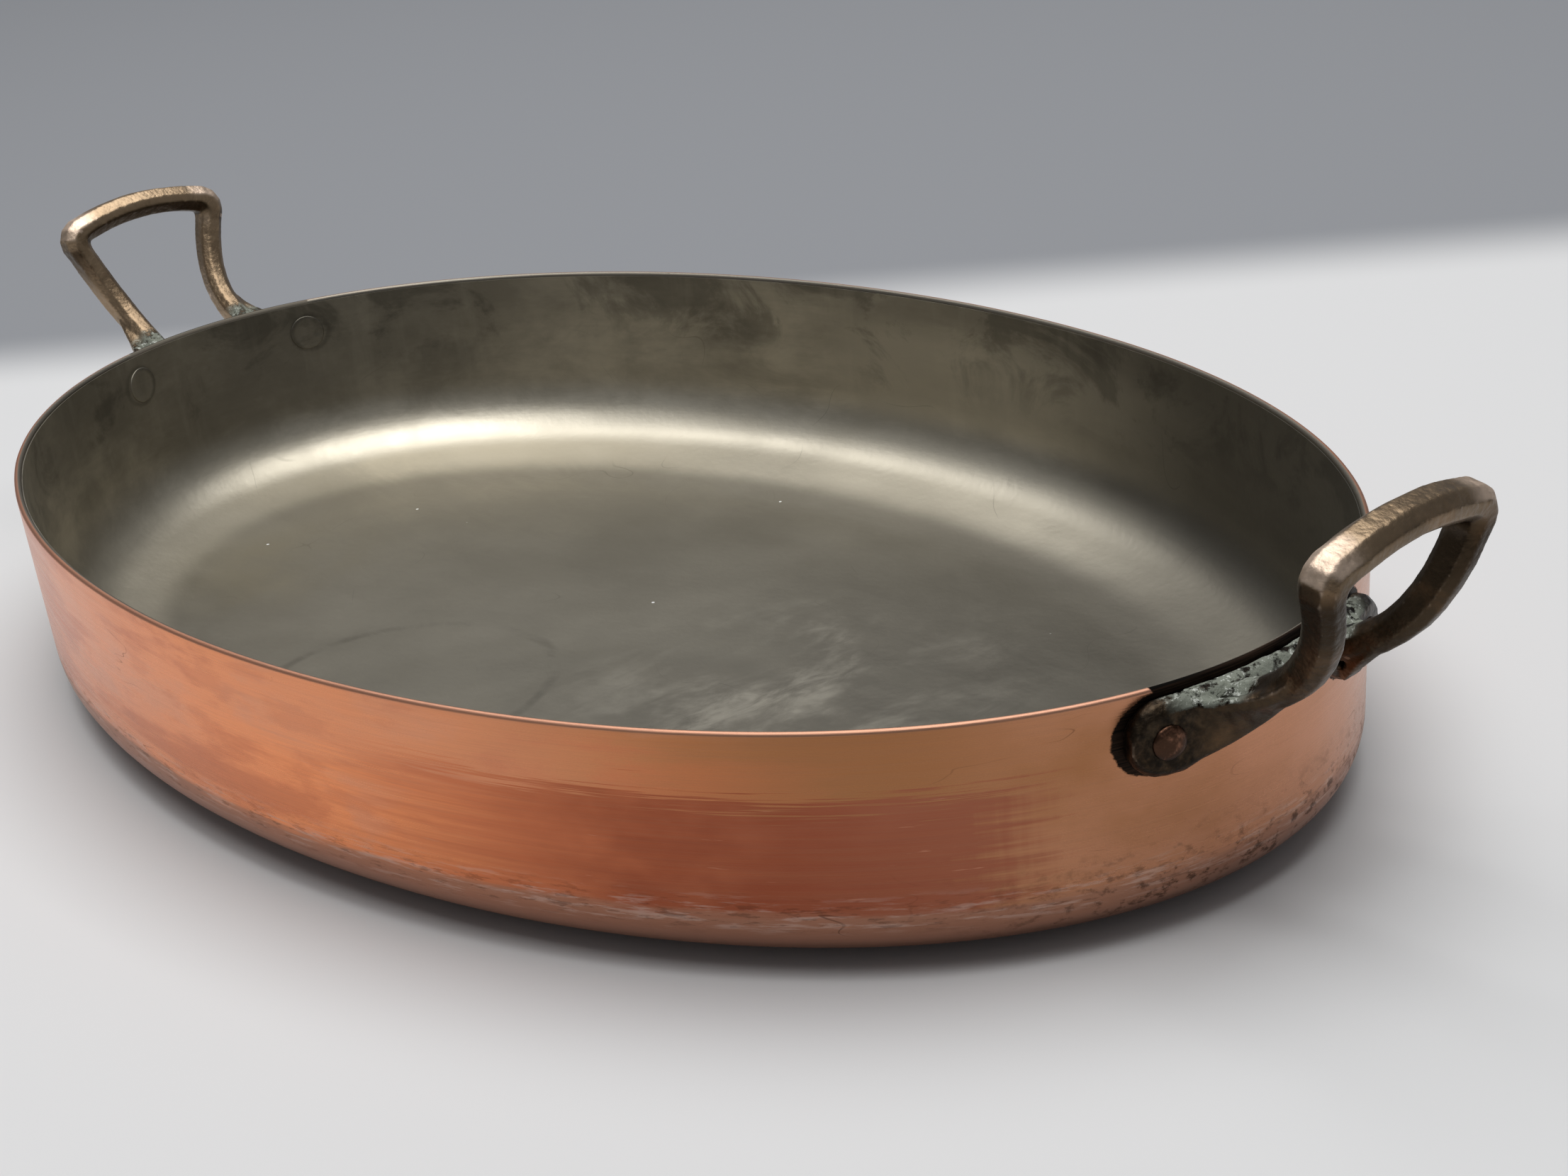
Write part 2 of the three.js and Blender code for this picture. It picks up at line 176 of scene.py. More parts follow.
class Wire:
    """A socket of a material's node tree. Arithmetic on it adds Math nodes."""

    def __init__(self, tree, socket=None):
        self.tree = tree
        self.socket = socket

    def node(self, kind, settings=None, inputs=None, output=0):
        """Adds a node, with its settings first and then the values or links of its sockets."""
        made = self.tree.nodes.new("ShaderNode" + kind)
        for key, value in (settings or {}).items():
            setattr(made, key, value)
        for key, value in (inputs or {}).items():
            if isinstance(value, Wire):
                self.tree.links.new(value.socket, made.inputs[key])
            else:
                made.inputs[key].default_value = value
        return Wire(self.tree, made.outputs[output])

    def math(self, operation, *others):
        return self.node("Math", {"operation": operation}, dict(enumerate([self, *others])))

    def __add__(self, other):
        return self.math("ADD", other)

    __radd__ = __add__

    def __mul__(self, other):
        return self.math("MULTIPLY", other)

    __rmul__ = __mul__

    def __sub__(self, other):
        return self.math("SUBTRACT", other)

    def __rsub__(self, other):
        return self.node("Math", {"operation": "SUBTRACT"}, {0: other, 1: self})

    def __truediv__(self, other):
        return self.math("DIVIDE", other)

    def __abs__(self):
        return self.math("ABSOLUTE")

    def least(self, other):
        return self.math("MINIMUM", other)

    def most(self, other):
        return self.math("MAXIMUM", other)

    def rise(self, low, high):
        """0 up to low, 1 from high, and a smooth rise between; low above high makes it fall."""
        settings = {"interpolation_type": "SMOOTHSTEP"}
        return self.node("MapRange", settings, {"Value": self, "From Min": low, "From Max": high})

    def sway(self, reach):
        """A noise swung about nothing, by half the reach either way."""
        return (self - 0.5) * reach

    def split(self):
        return [self.node("SeparateXYZ", None, {0: self}, axis) for axis in range(3)]

    def times(self, stretch):
        """This vector with each axis stretched."""
        return self.node("VectorMath", {"operation": "MULTIPLY"}, {0: self, 1: stretch})

    def noise(self, stretch, detail=3, roughness=0.55, warp=0):
        """Noise that has as many lumps to the metre along each axis as stretch says."""
        inputs = {"Vector": self.times(stretch), "Scale": 1}
        inputs.update({"Detail": detail, "Roughness": roughness, "Distortion": warp})
        return self.node("TexNoise", None, inputs, "Fac")

    def away_from(self, point):
        """Distance of this place from a point."""
        return self.node("VectorMath", {"operation": "DISTANCE"}, {0: self, 1: point}, "Value")

    def dots(self, to_the_metre, radius, share):
        """Round dots of a radius, in a share of the cells of a jumbled grid."""
        scatter = {"Vector": self, "Scale": to_the_metre}
        near = self.node("TexVoronoi", None, scatter, "Distance")
        pick = self.node("TexVoronoi", None, scatter, "Color").split()[0]
        size = radius * to_the_metre
        core = 0.6 * size
        left_out = 1 - share
        chosen = pick.rise(left_out - 0.01, left_out)
        return near.rise(size, core) * chosen


def rgb(shade):
    return (*shade, 1)


class Finish:
    """A new material: a wire to start from, places on the piece, and a surface to set."""
    SOCKETS = {"color": "Base Color", "roughness": "Roughness", "metallic": "Metallic", "normal": "Normal"}
    MIX_FACTOR, MIX_LOW, MIX_HIGH = 0, 6, 7
    MIX_RESULT = 2

    def __init__(self, name):
        self.material = bpy.data.materials.new(name)
        self.material.use_nodes = True
        tree = self.material.node_tree
        self.surface = tree.nodes["Principled BSDF"]
        self.wire = Wire(tree)
        self.place = self.wire.node("TexCoord", None, None, "Object")
        self.x, self.y, self.z = self.place.split()

    def facing(self):
        """The three parts of the direction that the surface faces."""
        return self.wire.node("TexCoord", None, None, "Normal").split()

    def edge(self):
        """How sharp the surface is here: above a half on edges, below it in hollows."""
        return self.wire.node("NewGeometry", None, None, "Pointiness")

    def set(self, **sockets):
        """Sets the surface's sockets to values, or links them to wires."""
        for key, value in sockets.items():
            socket = self.surface.inputs[self.SOCKETS[key]]
            if isinstance(value, Wire):
                self.wire.tree.links.new(value.socket, socket)
            else:
                socket.default_value = value

    def bump(self, height, depth, under=None):
        """A normal from a height that stands for a depth in metres, over another normal."""
        inputs = {"Strength": 1, "Distance": depth, "Height": height}
        if under:
            inputs["Normal"] = under
        return self.wire.node("Bump", None, inputs)

    def blend(self, low, high, factor):
        """A colour between two fixed colours or wires."""
        low = low if isinstance(low, Wire) else rgb(low)
        high = high if isinstance(high, Wire) else rgb(high)
        inputs = {self.MIX_FACTOR: factor, self.MIX_LOW: low, self.MIX_HIGH: high}
        return self.wire.node("Mix", {"data_type": "RGBA"}, inputs, self.MIX_RESULT)


def about_rivets(finish, rivets, depth):
    """Distances on the wall from the middle of the nearest rivet: sideways, upwards and straight."""
    up = finish.z - (depth - rivets.below_rim)
    side = abs(finish.y) - rivets.spacing / 2
    return side, up, (side * side + up * up).math("SQRT")


# The base of a handle on the wall: round tabs, and between them a bar that is narrow in the middle and
# flares towards the tabs. Its lower edge is measured up from the rivets, and the flare in from a rivet.
TAB_RADIUS = 0.009
BAR_BOTTOM = 0.0025
BAR_FLARE = 0.011
FLARE_SIDE = (-0.026, -0.004)


def foot_outline(finish, rivets, depth):
    """Distance on the wall from the outline of a handle's base, which is the same at both ends."""
    side, up, straight = about_rivets(finish, rivets, depth)
    tab = straight - TAB_RADIUS
    flare = side.rise(*FLARE_SIDE) * BAR_FLARE
    bar = side.most(BAR_BOTTOM - flare - up)
    return tab.least(bar)


# Where the toned front of the copper lies. Both long sides have it, half a turn apart.
PATCH_ALONG = Vector((0.807, 0.590))
PATCH_OUT = Vector((0.590, -0.807))
PATCH_MIDDLE = 0.075

# Zones of the copper in metres, each from where it starts to where it is full: along the front from the
# middle of the toned patch, or up the wall from the lifted edge of the base.
TAN_ALONG = (-0.12, 0.02)
LEFT_END_ALONG = (-0.13, -0.23)
RIGHT_END_ALONG = (0.025, 0.080)
PATCH_TOP = (0.0425, 0.0390)
PATCH_TILT = 0.03
PATCH_LEFT = (-0.125, -0.05)
PATCH_RIGHT = (0.064, 0.042)
OXIDE_ALONG = (-0.07, 0.03)
DEEP_LEFT = (-0.08, -0.03)
DEEP_RIGHT = (0.05, -0.01)
RUDDY_ALONG = (0.04, -0.06)
FADED_ALONG = (0.02, -0.08)
FLUSH_ALONG = (-0.02, -0.10)
FLUSH_UP = (0.014, 0.024)
PAINTED_HIGHLIGHT_UP = (0.032, 0.042)
PAINTED_HIGHLIGHT_LEFT = (-0.17, -0.11)
PAINTED_HIGHLIGHT_RIGHT = (-0.01, -0.07)
SCUFFED_UP = (0.0142, 0.0112)
BORDER_TOP = (0.0195, 0.0130)
BORDER_BOTTOM = (0.0060, 0.0105)
GRIME_UP = (0.026, 0.008)
GRIME_ALONG = (0.02, 0.09)
UNDERSIDE_UP = (0.004, -0.001)

# Other zones of the copper: where the two fronts meet, along X to the handles, round the handles' bases, and
# under the rim.
PLAIN_OUT = (0.070, 0.0)
HANDLE_END = (0.17, 0.19)
HALO_OUT = (0.0014, 0.0008)
RIM_BELOW = (0.0011, 0.0004)
COPPER_ROUGHNESS = 0.27


def copper_finish(sizes, rivets, colours):
    """Copper rubbed bright, toned in front, scuffed round the base and black round the handles with tarnish
    and painted shade; painted shade to the right and along the underside, a painted highlight under the rim.
    """
    finish = Finish("worn_copper")
    x, y, place = finish.x, finish.y, finish.place
    z = finish.z - sizes.base_curl
    out = x * PATCH_OUT.x + y * PATCH_OUT.y
    along = (x * PATCH_ALONG.x + y * PATCH_ALONG.y) * out.math("SIGN") - PATCH_MIDDLE
    rubbed = place.noise((14, 14, 620), 4, 0.6)
    brushed = place.noise((40, 40, 2600), 2)
    upright = place.noise((420, 420, 25), 3)
    cloud = place.noise((16, 16, 26), 4, 0.6)
    grime = place.noise((210, 210, 330), 5, 0.7)
    mottle = place.noise((13, 13, 60), 6, 0.62, 0.3)
    clouded = cloud.rise(0.2, 0.65)
    ruddy = mottle.rise(0.47, 0.60)

    # Towards the right of the front the copper turns tan: partly its tone, partly painted shade on the side
    # away from the light.
    toned = (along + cloud.sway(0.05)).rise(*TAN_ALONG)
    shade = finish.blend(colours.copper_bright, colours.copper_tan, toned)
    ends = (along.rise(*LEFT_END_ALONG) * 0.6).most(along.rise(*RIGHT_END_ALONG) * 0.55)
    shade = finish.blend(shade, colours.copper_pale, ends * clouded)
    shade = finish.blend(shade, colours.copper_red, ruddy * along.rise(*RUDDY_ALONG) * 0.65)
    faded = mottle.rise(0.45, 0.34) * along.rise(*FADED_ALONG)
    shade = finish.blend(shade, colours.copper_pale, faded * 0.4)
    flush = place.noise((34, 34, 110), 5, 0.6, 0.2).rise(0.50, 0.62) * along.rise(*FLUSH_ALONG)
    shade = finish.blend(shade, colours.copper_red, flush * z.rise(*FLUSH_UP) * 0.38)

    ragged = rubbed.sway(0.020) + brushed.sway(0.016) + cloud.sway(0.010)
    hatched = rubbed.sway(0.060) + upright.sway(0.016)
    # Painted highlight: a pale band under the rim on the left of the front.
    painted_highlight_band = (z + ragged * 0.6).rise(*PAINTED_HIGHLIGHT_UP) * along.rise(*PAINTED_HIGHLIGHT_LEFT) * along.rise(*PAINTED_HIGHLIGHT_RIGHT)
    shade = finish.blend(shade, colours.copper_pale, painted_highlight_band * 0.35)
    patch = (z + ragged + along * PATCH_TILT).rise(*PATCH_TOP)
    patch = patch * (along + rubbed.sway(0.08)).rise(*PATCH_LEFT) * (along + hatched).rise(*PATCH_RIGHT)
    oxide = (along + cloud.sway(0.06)).rise(*OXIDE_ALONG)
    red = finish.blend(colours.copper_red, colours.copper_oxide, oxide)
    deep = along.rise(*DEEP_LEFT) * along.rise(*DEEP_RIGHT) * cloud.rise(0.3, 0.6)
    red = finish.blend(red, colours.copper_deep, deep * 0.75)
    shade = finish.blend(shade, red, patch * (0.80 + rubbed * 0.3))

    # At the ends, where one long side's front meets the other's, plain copper hides the change.
    plain = finish.blend(colours.copper_bright, colours.copper_pale, clouded)
    plain = finish.blend(plain, colours.copper_red, ruddy * 0.5)
    between = abs(out).rise(*PLAIN_OUT)
    shade = finish.blend(shade, plain, between)

    scuffed = (z + rubbed.sway(0.005) + cloud.sway(0.005)).rise(*SCUFFED_UP)
    shade = finish.blend(shade, colours.copper_base, scuffed * 0.9)
    dragged = place.noise((75, 75, 800), 4, 0.65).rise(0.50, 0.66)
    border = (z + cloud.sway(0.006)).rise(*BORDER_TOP) * z.rise(*BORDER_BOTTOM)
    shade = finish.blend(shade, colours.copper_scraped, border * dragged * 0.4)
    scored = border * place.noise((150, 150, 800), 4, 0.7).rise(0.54, 0.64)
    low = z.rise(*GRIME_UP) * grime.rise(0.50, 0.66) * along.rise(*GRIME_ALONG) * (1 - between)
    # Along the underside, next to the table, the copper is darkened: painted shade.
    dark = (scored * 0.3).most(low * 0.7).most(z.rise(*UNDERSIDE_UP) * 0.6)
    scratch = abs(place.noise((22, 22, 90), 2, 0.5, 0.3) - 0.5).rise(0.004, 0.001)
    scratch = scratch * place.noise((30, 30, 30), 2).rise(0.56, 0.66)
    specks = place.dots(75, radius=0.0008, share=0.02)
    dark = dark.most(scratch * 0.4).most(specks * 0.8)
    shade = finish.blend(shade, colours.tarnish, dark)

    rim_start, rim_full = (sizes.depth - below for below in RIM_BELOW)
    worn_rim = finish.z.rise(rim_start, rim_full)
    shade = finish.blend(shade, colours.rim, worn_rim * cloud.rise(0.2, 0.5) * 0.8)
    # Black round each handle's base: tarnish, and painted shade in the gap under the handle.
    foot = foot_outline(finish, rivets, sizes.depth)
    tarnish_and_shade_halo = (foot + grime.sway(0.003)).rise(*HALO_OUT) * abs(x).rise(*HANDLE_END)
    shade = finish.blend(shade, colours.tarnish, tarnish_and_shade_halo)
    dark = dark.most(tarnish_and_shade_halo)
    facing = finish.facing()
    outward = facing[0] * x / sizes.half_length + facing[1] * y / sizes.half_width
    shade = finish.blend(shade, colours.tin_dark, outward.rise(0.1, -0.3))
    nicks = place.noise((70, 70, 900), 2).rise(0.70, 0.76) * (1 - dark)
    shade = finish.blend(shade, colours.copper_pale, nicks * patch * 0.4)
    shade = finish.blend(shade, colours.copper_brushed, (brushed - 0.5).rise(-0.2, 0.3) * 0.14)

    rough = COPPER_ROUGHNESS + patch * 0.07 + scuffed * 0.10 + dark * 0.35 + worn_rim * 0.2
    planished = finish.bump(place.noise((30, 30, 30), 2), depth=0.0005)
    normal = finish.bump(brushed, depth=0.00003, under=planished)
    finish.set(color=shade, roughness=rough + rubbed.sway(0.16), metallic=1, normal=normal)
    return finish.material


# Zones of the tin in metres, each from where it starts to where it is full: up from the table, along X or
# along Y.
WALL_UP = (0.016, 0.028)
FLOOR_UP = (0.012, 0.007)
FLAT_UP = (0.0046, 0.0030)
CORNER_BOTTOM = (0.0030, 0.0056)
CORNER_TOP = (0.0190, 0.0110)
PAINTED_SHADE_END_X = (-0.03, 0.10)
PAINTED_SHADE_END_UP = (0.007, 0.017)
FAR_LEFT_X = (-0.165, -0.212)
LEFT_GLEAM_X = (-0.06, -0.12)
LEFT_GLEAM_Y = (0.02, 0.07)
RIGHT_GLEAM_START_X = (-0.085, -0.045)
RIGHT_GLEAM_END_X = (0.115, 0.0)
RIGHT_GLEAM_Y = (0.03, 0.08)
GLEAM_TOP = (0.058, 0.046)
BLOT_UP = (0.026, 0.048)
STAIN_CLIMB = 6
SPECK_UP = (0.020, 0.010)
RIVET_END = (0.18, 0.2)

# Grime round the rivets' heads: how far it reaches out and in, and the gap where it is full.
SEAT_OUTSIDE = 0.0016
SEAT_INSIDE = 0.0010
SEAT_GAP = 0.0002

# Marks on the floor of the dish.
SMEAR_MIDDLE = (0.056, 0.004, 0.002)
SMEAR_REACH = (0.085, 0.020)
YELLOW_MIDDLE = (-0.150, -0.035, 0.002)
YELLOW_REACH = (0.05, 0.01)
RING_MIDDLE = (-0.038, -0.060, 0.002)
RING_RADIUS = 0.043
RING_WIDTH = (0.0026, 0.0004)
TIN_ROUGHNESS = 0.42


def tin_finish(sizes, rivets, colours):
    """Wiped tin: stained on the wall, cleaner and with painted highlights in the corner and up the wall,
    painted shade towards the right end and at the far left, with smears, a ring and specks on the floor.
    """
    finish = Finish("wiped_tin")
    x, y, z, place = finish.x, finish.y, finish.z, finish.place
    rubbed = place.noise((12, 12, 420), 4, 0.6)
    wiped = place.noise((26, 60, 90), 5, 0.65, 0.4)
    cloud = place.noise((13, 13, 22), 5, 0.6)
    grime = place.noise((80, 80, 110), 5, 0.7)
    wall = z.rise(*WALL_UP)
    floor = z.rise(*FLOOR_UP)

    greyed = (cloud * 0.6 + wiped * 0.4).rise(0.34, 0.60)
    shade = finish.blend(colours.tin_light, colours.tin_grey, greyed)
    stain = (cloud + rubbed.sway(0.2) + z * STAIN_CLIMB).rise(0.50, 0.95)
    shade = finish.blend(shade, colours.tin_dark, wall * (0.10 + stain * 0.45))
    # Painted shade: the tin darkens towards the right end, more so up the wall.
    painted_shade_end = (x + cloud.sway(0.05)).rise(*PAINTED_SHADE_END_X)
    shade = finish.blend(shade, colours.tin_dark, painted_shade_end * 0.85)
    shade = finish.blend(shade, colours.tin_black, painted_shade_end * z.rise(*PAINTED_SHADE_END_UP) * 0.54)
    # Painted shade on the wall at the far left.
    shade = finish.blend(shade, colours.tin_black, x.rise(*FAR_LEFT_X) * wall * 0.2)
    # The flat of the floor is darker tin, and darker again towards the right end in painted shade.
    shade = finish.blend(shade, colours.tin_dark, z.rise(*FLAT_UP) * (0.68 + painted_shade_end * 0.3))
    # Painted highlights: a band along the inner corner, partly cleaner tin, and a patch up the wall right of
    # the middle.
    corner = z.rise(*CORNER_BOTTOM) * z.rise(*CORNER_TOP)
    left_gleam = x.rise(*LEFT_GLEAM_X) * y.rise(*LEFT_GLEAM_Y) * 0.5
    right_gleam = x.rise(*RIGHT_GLEAM_START_X) * x.rise(*RIGHT_GLEAM_END_X) * y.rise(*RIGHT_GLEAM_Y)
    cleaner_and_highlight = left_gleam + (0.1 + wiped * 0.35) * (1 - painted_shade_end)
    shade = finish.blend(shade, colours.tin_light, corner * cleaner_and_highlight.most(right_gleam))
    shade = finish.blend(shade, colours.tin_light, right_gleam * wall * z.rise(*GLEAM_TOP) * 0.55)
    blot = place.noise((30, 30, 40), 6, 0.66, 0.6).rise(0.49, 0.62)
    blot = blot * (z + cloud.sway(0.04)).rise(*BLOT_UP)
    shade = finish.blend(shade, colours.tin_black, blot * 0.4)
    drip = place.noise((95, 95, 14), 4, 0.6).rise(0.50, 0.70) * wall * (1 - painted_shade_end)
    shade = finish.blend(shade, colours.tin_light, drip * 0.15)

    wide_wisp = place.noise((30, 20, 30), 5, 0.6, 0.5).rise(0.42, 0.64)
    fine_wisp = place.noise((130, 50, 130), 5, 0.7, 0.5).rise(0.30, 0.62)
    smear = place.away_from(SMEAR_MIDDLE).rise(*SMEAR_REACH) * (wide_wisp * fine_wisp) * floor
    shade = finish.blend(shade, colours.tin_smear, smear * 0.34)
    yellow = place.away_from(YELLOW_MIDDLE).rise(*YELLOW_REACH) * cloud.rise(0.35, 0.6)
    shade = finish.blend(shade, colours.tin_yellow, yellow * 0.3)
    ring = abs(place.away_from(RING_MIDDLE) - RING_RADIUS + cloud.sway(0.012))
    ring = ring.rise(*RING_WIDTH) * wiped.rise(0.36, 0.6) * floor
    scratch = abs(place.noise((24, 24, 24), 1, 0.5, 0.3) - 0.5).rise(0.0022, 0.0008)
    scratch = scratch * place.noise((22, 22, 22), 2).rise(0.53, 0.62)
    shade = finish.blend(shade, colours.tin_black, (ring * 0.26).most(scratch * 0.22))

    around = about_rivets(finish, rivets, sizes.depth)[2] + grime.sway(0.002)
    seat = around.rise(rivets.head + SEAT_OUTSIDE, rivets.head + SEAT_GAP)
    seat = seat * around.rise(rivets.head - SEAT_INSIDE, rivets.head)
    seat = seat * abs(x).rise(*RIVET_END) * (cloud + grime).rise(0.7, 1.1)
    shade = finish.blend(shade, colours.tin_black, seat * 0.35)
    specks = place.dots(55, radius=0.0006, share=0.5) * z.rise(*SPECK_UP)
    shade = finish.blend(shade, colours.tin_speck, specks)

    rough = TIN_ROUGHNESS + smear * 0.06 + rubbed.sway(0.06) + wiped.sway(0.16) + wall * 0.04
    wavy = finish.bump(place.noise((17, 17, 17), 2), depth=0.0006)
    grain = finish.bump(place.noise((420, 420, 420), 3), depth=0.00005, under=wavy)
    normal = finish.bump(place.noise((60, 60, 1500), 3), depth=0.000012, under=grain)
    finish.set(color=shade, roughness=rough, metallic=1 - specks, normal=normal)
    return finish.material


# How far hands have rubbed the patina off each handle, from 0 to 1.
HAND_WEAR = {"right": 0.1, "left": 0.95}

# Zones of the handles in metres, each from where it starts to where it is full: up from the table, across
# from the middle of the handle, or out along X. SHARP_EDGE and HOLLOW_EDGE are values of Finish.edge.
GRIP_UP = (0.086, 0.096)
HELD_UP = (0.070, 0.092)
SHADED_UP = (0.070, 0.088)
GRIP_CORNER_ACROSS = (0.016, 0.023)
GRIP_CORNER_UP = (0.086, 0.092)
WORN_UP = (0.039, 0.079)
TAB_ACROSS = (0.022, 0.030)
TAB_UP = (0.064, 0.058)
LEDGE_OUT = (0.237, 0.2315)
LEDGE_BOTTOM = (0.053, 0.057)
LEDGE_TOP = (0.0645, 0.0625)
LEDGE_ACROSS = (0.036, 0.028)
SHARP_EDGE = (0.515, 0.57)
HOLLOW_EDGE = (0.485, 0.46)
BRONZE_ROUGHNESS = 0.40


def bronze_finish(name, colours, hand_wear):
    """Cast bronze with a brown patina, rubbed on the grip, bare on its edges, crusted on its ledge, with
    painted shade on high faces that do not face up and a painted highlight on the grip's upper corners.
    """
    finish = Finish(name)
    x, y, z, place = finish.x, finish.y, finish.z, finish.place
    cloud = place.noise((75, 75, 75), 5, 0.6)
    pits = place.noise((520, 520, 520), 4, 0.6)
    streak = place.noise((300, 90, 90), 4, 0.6)
    edge = finish.edge()
    lengthwise, _, upward = finish.facing()
    outward = (lengthwise * x.math("SIGN")).rise(0.1, 0.6)
    across = abs(y)

    grip = z.rise(*GRIP_UP)
    thin = (cloud + streak.sway(0.5)).rise(0.66 - 0.5 * hand_wear, 1.0 - 0.45 * hand_wear)
    palm = grip * upward.rise(-0.1, 0.7).most(outward * 0.6) * (0.7 + streak.sway(0.7))
    handled = thin * (0.45 + hand_wear) * z.rise(*HELD_UP)
    handled = handled.most(palm).most(0.8 * hand_wear)
    shade = finish.blend(colours.bronze_dark, colours.bronze_brown, cloud.rise(0.45, 0.7))
    shade = finish.blend(shade, colours.bronze_gold, handled)
    # Painted shade: faces high on the handle that do not face up are darker.
    shaded = z.rise(*SHADED_UP) * upward.rise(0.3, -0.2) * (0.92 - outward * grip * 0.85)
    shade = finish.blend(shade, colours.bronze_dark, shaded)
    # The grip's upward-facing upper corners are bare: partly wear, partly a painted highlight.
    corner = across.rise(*GRIP_CORNER_ACROSS) * z.rise(*GRIP_CORNER_UP) * upward.rise(0.15, 0.6)
    bare = edge.rise(*SHARP_EDGE) * (cloud * 0.6 + streak * 0.4).rise(0.36, 0.6)
    worn_and_lit = bare.most(corner * cloud.rise(0.25, 0.5)) * z.rise(*WORN_UP).most(0.5)
    shade = finish.blend(shade, colours.bronze_worn, worn_and_lit * 0.85)

    tab = across.rise(*TAB_ACROSS) * z.rise(*TAB_UP) * (cloud * 0.5 + pits * 0.5).rise(0.3, 0.6)
    shade = finish.blend(shade, colours.tarnish, tab * (1 - worn_and_lit) * 0.9)
    shade = finish.blend(shade, colours.tarnish, edge.rise(*HOLLOW_EDGE) * 0.7)
    ledge = abs(x).rise(*LEDGE_OUT) * z.rise(*LEDGE_BOTTOM) * z.rise(*LEDGE_TOP)
    bed = ledge * across.rise(*LEDGE_ACROSS) * upward.rise(0.10, 0.45)
    crust = place.noise((260, 260, 260), 5, 0.65)
    green = bed * crust.rise(0.40, 0.50)
    chalk = green * place.noise((560, 560, 560), 4, 0.7).rise(0.55, 0.62)
    shade = finish.blend(shade, colours.tarnish, bed * 0.8)
    shade = finish.blend(shade, colours.verdigris, green * 0.8)
    shade = finish.blend(shade, colours.chalk, chalk * 0.85)

    rough = BRONZE_ROUGHNESS + worn_and_lit * 0.12 + pits.sway(0.3) + green * 0.4
    cast = finish.bump(place.noise((130, 130, 130), 3), depth=0.0004)
    pitted = finish.bump(pits, depth=0.00022, under=cast)
    normal = finish.bump(crust * green, depth=0.0006, under=pitted)
    finish.set(color=shade, roughness=rough, metallic=1 - green, normal=normal)
    return finish.material


RIVET_HOLLOW = (0.49, 0.45)
RIVET_ROUGHNESS = 0.36


def rivet_finish(colours):
    """Hammered copper gone brown, with tarnish left in its hollows."""
    finish = Finish("hammered_rivet")
    place = finish.place
    cloud = place.noise((300, 300, 300), 4, 0.6)
    shade = finish.blend(colours.rivet_brown, colours.copper_pale, cloud.rise(0.5, 0.75) * 0.35)
    shade = finish.blend(shade, colours.tarnish, finish.edge().rise(*RIVET_HOLLOW) * 0.9)
    normal = finish.bump(place.noise((700, 700, 700), 3), depth=0.00015)
    finish.set(color=shade, roughness=RIVET_ROUGHNESS + cloud.sway(0.3), metallic=1, normal=normal)
    return finish.material


GREY_BEHIND = (0.305, 0.385)
FLOOR_ROUGHNESS = 0.6
FLOOR_GLOSS = 0.25


def floor_finish(stage):
    """Pale round the dish, and grey behind a soft line that runs across the view."""
    finish = Finish("studio_floor")
    behind = (finish.y - finish.x) * math.sqrt(0.5)
    shade = finish.blend(stage.floor_pale, stage.floor_grey, behind.rise(*GREY_BEHIND))
    finish.set(color=shade, roughness=FLOOR_ROUGHNESS, metallic=0)
    finish.surface.inputs["Specular IOR Level"].default_value = FLOOR_GLOSS
    return finish.material


def choose(piece):
    """Makes a piece the only one that is selected, and the active one."""
    bpy.ops.object.select_all(action="DESELECT")
    piece.select_set(True)
    bpy.context.view_layer.objects.active = piece


def raise_rings(name, rings, segments):
    """A closed solid drawn out of a flat disc, ring by ring: each ring is two half widths and a height."""
    bpy.ops.object.select_all(action="DESELECT")
    bpy.ops.mesh.primitive_circle_add(vertices=segments, radius=1, fill_type="NGON")
    piece = bpy.context.object
    piece.name = piece.data.name = name
    bpy.ops.object.mode_set(mode="EDIT")
    bpy.ops.mesh.select_all(action="SELECT")
    across, along, height = rings[0]
    bpy.ops.transform.resize(value=(across, along, 1), center_override=(0, 0, 0))
    bpy.ops.transform.translate(value=(0, 0, height))
    for next_across, next_along, next_height in rings[1:]:
        lift = {"value": (0, 0, next_height - height)}
        bpy.ops.mesh.extrude_region_move(TRANSFORM_OT_translate=lift)
        bpy.ops.transform.resize(
            value=(next_across / across, next_along / along, 1), center_override=(0, 0, next_height))
        across, along, height = next_across, next_along, next_height
    bpy.ops.mesh.select_all(action="SELECT")
    bpy.ops.mesh.normals_make_consistent(inside=False)
    bpy.ops.object.mode_set(mode="OBJECT")
    return piece


def apply_modifier(piece, kind, **settings):
    """Adds a modifier with its settings to a piece, and applies it."""
    choose(piece)
    modifier = piece.modifiers.new(kind.title(), kind)
    for key, value in settings.items():
        setattr(modifier, key, value)
    bpy.ops.object.modifier_apply(modifier=modifier.name)


def lumps(name, size):
    """A texture of soft lumps of a size, for a Displace modifier."""
    texture = bpy.data.textures.new(name, "CLOUDS")
    texture.noise_scale = size
    return texture


# Displace moves a point by nothing where its texture has this value.
LUMPS_MIDDLE = 0.5
SMOOTH_ANGLE = math.radians(50)


def finish_piece(piece, material, slot, *nodes):
    """Smooths and paints a piece that stands for CAD nodes."""
    choose(piece)
    bpy.ops.object.shade_smooth_by_angle(angle=SMOOTH_ANGLE)
    piece.data.materials.clear()
    piece.data.materials.append(material)
    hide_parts(*nodes)
    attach(piece, BODY)


CURL_STEPS = 12
CORNER_STEPS = 12
WALL_STEPS = 14
RIM_STEPS = 4
WANDER_SIZE = 0.085
TIN_CLEARANCE = 0.00005


def wall_inset(sizes, z):
    """How far the leaning wall stands in from the rim at a height."""
    return sizes.wall_lean * (1 - z / sizes.depth)


